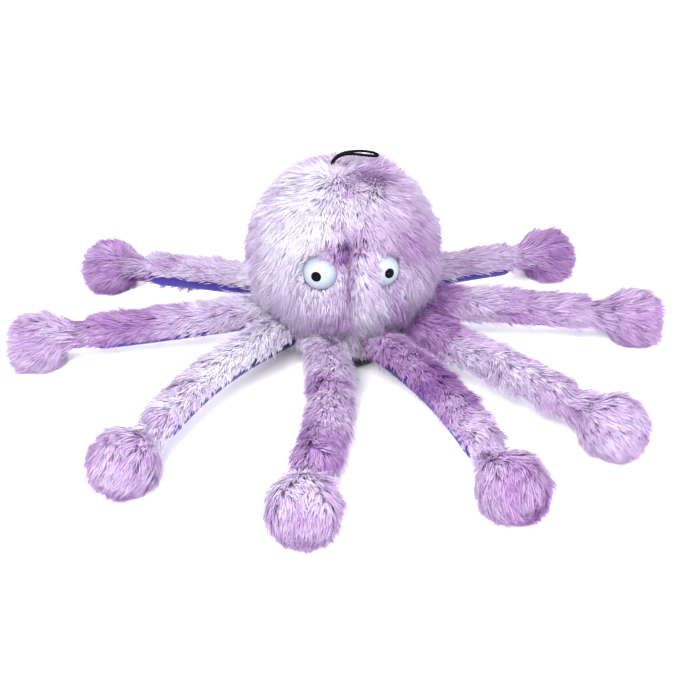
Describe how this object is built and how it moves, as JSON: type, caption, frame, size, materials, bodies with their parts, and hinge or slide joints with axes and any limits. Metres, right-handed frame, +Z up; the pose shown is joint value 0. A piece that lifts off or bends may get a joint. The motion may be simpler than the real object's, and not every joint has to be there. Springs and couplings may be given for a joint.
{
  "type": "plush octopus toy",
  "caption": "Long-pile plush octopus soft toy with a round stuffed head, domed eyes, soft arms with smooth undersides, squeaking feet and a hanging loop at the crown.",
  "frame": {"origin": "middle of the base panel, on the surface that the toy sits on", "axes": "+Z up through the crown, -Y out of the face, +X to the toy's own left"},
  "size_m": [0.4484, 0.364, 0.1475],
  "materials": {
    "head_plush": "long pile, tie-dyed lilac and white",
    "arm_plush": "long pile, tie-dyed lilac and white",
    "foot_plush": "long pile, tie-dyed lilac and white",
    "lining": "smooth brushed knit",
    "filling": "loose polyester fibre",
    "squeaker": "soft moulded vinyl",
    "eye": "moulded, glossy",
    "pupil": "moulded, glossy",
    "washer": "stamped",
    "cord": "twisted cord"
  },
  "bodies": {
    "head": {"head_panel_front_left": "head_plush", "head_panel_front_right": "head_plush", "head_panel_back_left": "head_plush", "head_panel_back_right": "head_plush", "base_panel": "lining", "head_filling": "filling", "head_squeaker": "squeaker", "left_eye": "eye", "right_eye": "eye", "pupils": "pupil", "eye_washers": "washer"},
    "loop": {"hanging_loop": "cord"},
    "arm_1": {"arm_1_cover": "arm_plush", "arm_1_lining": "lining", "arm_1_filling": "filling"},
    "foot_1": {"foot_1_cover": "foot_plush", "foot_1_filling": "filling", "foot_1_squeaker": "squeaker"},
    "arm_2": {"arm_2_cover": "arm_plush", "arm_2_lining": "lining", "arm_2_filling": "filling"},
    "foot_2": {"foot_2_cover": "foot_plush", "foot_2_filling": "filling", "foot_2_squeaker": "squeaker"},
    "arm_3": {"arm_3_cover": "arm_plush", "arm_3_lining": "lining", "arm_3_filling": "filling"},
    "foot_3": {"foot_3_cover": "foot_plush", "foot_3_filling": "filling", "foot_3_squeaker": "squeaker"},
    "arm_4": {"arm_4_cover": "arm_plush", "arm_4_lining": "lining", "arm_4_filling": "filling"},
    "foot_4": {"foot_4_cover": "foot_plush", "foot_4_filling": "filling", "foot_4_squeaker": "squeaker"},
    "arm_5": {"arm_5_cover": "arm_plush", "arm_5_lining": "lining", "arm_5_filling": "filling"},
    "foot_5": {"foot_5_cover": "foot_plush", "foot_5_filling": "filling", "foot_5_squeaker": "squeaker"},
    "arm_6": {"arm_6_cover": "arm_plush", "arm_6_lining": "lining", "arm_6_filling": "filling"},
    "foot_6": {"foot_6_cover": "foot_plush", "foot_6_filling": "filling", "foot_6_squeaker": "squeaker"},
    "arm_7": {"arm_7_cover": "arm_plush", "arm_7_lining": "lining", "arm_7_filling": "filling"},
    "foot_7": {"foot_7_cover": "foot_plush", "foot_7_filling": "filling", "foot_7_squeaker": "squeaker"},
    "arm_8": {"arm_8_cover": "arm_plush", "arm_8_lining": "lining", "arm_8_filling": "filling"},
    "foot_8": {"foot_8_cover": "foot_plush", "foot_8_filling": "filling", "foot_8_squeaker": "squeaker"}
  },
  "joints": [
    {"name": "loop_lift", "type": "hinge", "parent": "head", "child": "loop", "pos_m": [-0.008, 0, 0.1345], "axis": [0, -1, 0], "range_deg": [0, 85]},
    {"name": "arm_1_lift", "type": "hinge", "parent": "head", "child": "arm_1", "pos_m": [0.0176, -0.0425, 0.025], "axis": [-0.9511, -0.309, 0], "range_deg": [-80, 60]},
    {"name": "foot_1_flex", "type": "hinge", "parent": "arm_1", "child": "foot_1", "pos_m": [0.06297, -0.18211, 0.01731], "axis": [-0.9511, -0.309, 0], "range_deg": [-50, 50]},
    {"name": "arm_2_lift", "type": "hinge", "parent": "head", "child": "arm_2", "pos_m": [0.0425, -0.0176, 0.025], "axis": [-0.7815, -0.6239, 0], "range_deg": [-80, 60]},
    {"name": "foot_2_flex", "type": "hinge", "parent": "arm_2", "child": "foot_2", "pos_m": [0.13408, -0.13233, 0.01731], "axis": [-0.7815, -0.6239, 0], "range_deg": [-50, 50]},
    {"name": "arm_3_lift", "type": "hinge", "parent": "head", "child": "arm_3", "pos_m": [0.0425, 0.0176, 0.025], "axis": [-0.1736, -0.9848, 0], "range_deg": [-80, 60]},
    {"name": "foot_3_flex", "type": "hinge", "parent": "arm_3", "child": "foot_3", "pos_m": [0.18707, -0.00789, 0.01731], "axis": [-0.1736, -0.9848, 0], "range_deg": [-50, 50]},
    {"name": "arm_4_lift", "type": "hinge", "parent": "head", "child": "arm_4", "pos_m": [0.0176, 0.0425, 0.025], "axis": [0.342, -0.9397, 0], "range_deg": [-80, 60]},
    {"name": "foot_4_flex", "type": "hinge", "parent": "arm_4", "child": "foot_4", "pos_m": [0.15555, 0.09271, 0.01731], "axis": [0.342, -0.9397, 0], "range_deg": [-50, 50]},
    {"name": "arm_5_lift", "type": "hinge", "parent": "head", "child": "arm_5", "pos_m": [-0.0176, 0.0425, 0.025], "axis": [0.5, 0.866, 0], "range_deg": [-80, 60]},
    {"name": "foot_5_flex", "type": "hinge", "parent": "arm_5", "child": "foot_5", "pos_m": [-0.14474, 0.1159, 0.01731], "axis": [0.5, 0.866, 0], "range_deg": [-50, 50]},
    {"name": "arm_6_lift", "type": "hinge", "parent": "head", "child": "arm_6", "pos_m": [-0.0425, 0.0176, 0.025], "axis": [-0.0454, 0.999, 0], "range_deg": [-80, 60]},
    {"name": "foot_6_flex", "type": "hinge", "parent": "arm_6", "child": "foot_6", "pos_m": [-0.18915, 0.01094, 0.01731], "axis": [-0.0454, 0.999, 0], "range_deg": [-50, 50]},
    {"name": "arm_7_lift", "type": "hinge", "parent": "head", "child": "arm_7", "pos_m": [-0.0425, -0.0176, 0.025], "axis": [-0.7672, 0.6414, 0], "range_deg": [-80, 60]},
    {"name": "foot_7_flex", "type": "hinge", "parent": "arm_7", "child": "foot_7", "pos_m": [-0.13666, -0.13022, 0.01731], "axis": [-0.7672, 0.6414, 0], "range_deg": [-50, 50]},
    {"name": "arm_8_lift", "type": "hinge", "parent": "head", "child": "arm_8", "pos_m": [-0.0176, -0.0425, 0.025], "axis": [-0.9799, 0.1994, 0], "range_deg": [-80, 60]},
    {"name": "foot_8_flex", "type": "hinge", "parent": "arm_8", "child": "foot_8", "pos_m": [-0.04687, -0.18635, 0.01731], "axis": [-0.9799, 0.1994, 0], "range_deg": [-50, 50]}
  ]
}
